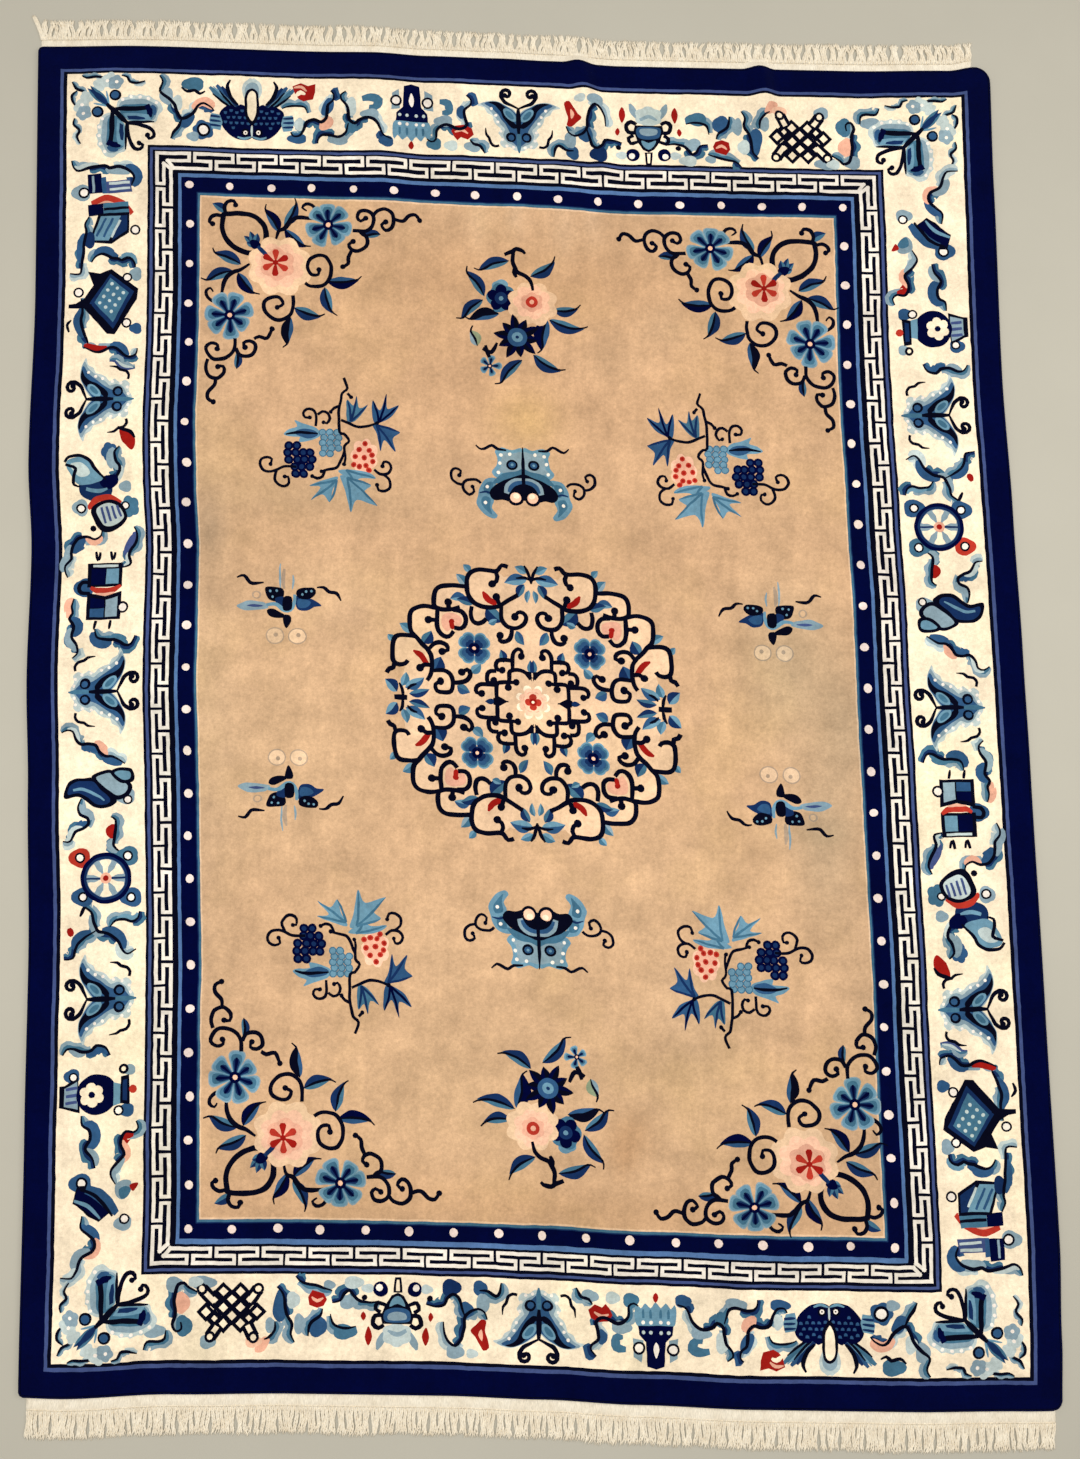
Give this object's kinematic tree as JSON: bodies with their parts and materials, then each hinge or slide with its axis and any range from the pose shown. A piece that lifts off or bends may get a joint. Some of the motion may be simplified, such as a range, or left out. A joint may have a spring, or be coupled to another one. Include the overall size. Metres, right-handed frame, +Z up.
{
  "type": "peking rug",
  "caption": "Large rectangular hand-knotted wool carpet spread flat, with uneven edges, low creases at one end and cotton warp fringes.",
  "frame": {"origin": "on the floor under the middle of the pile, at the flat underside", "axes": "+Y along the carpet towards its creased far end, +X across it to the right, +Z up out of the pile"},
  "size_m": [2.8679, 3.8795, 0.0287],
  "materials": {
    "wool_pile": "cut wool pile, matte with a soft sheen",
    "cotton_fringe": "undyed plied cotton, matte"
  },
  "bodies": {
    "root": {"carpet": "wool_pile", "fringe_far": "cotton_fringe", "fringe_near": "cotton_fringe"}
  },
  "joints": []
}
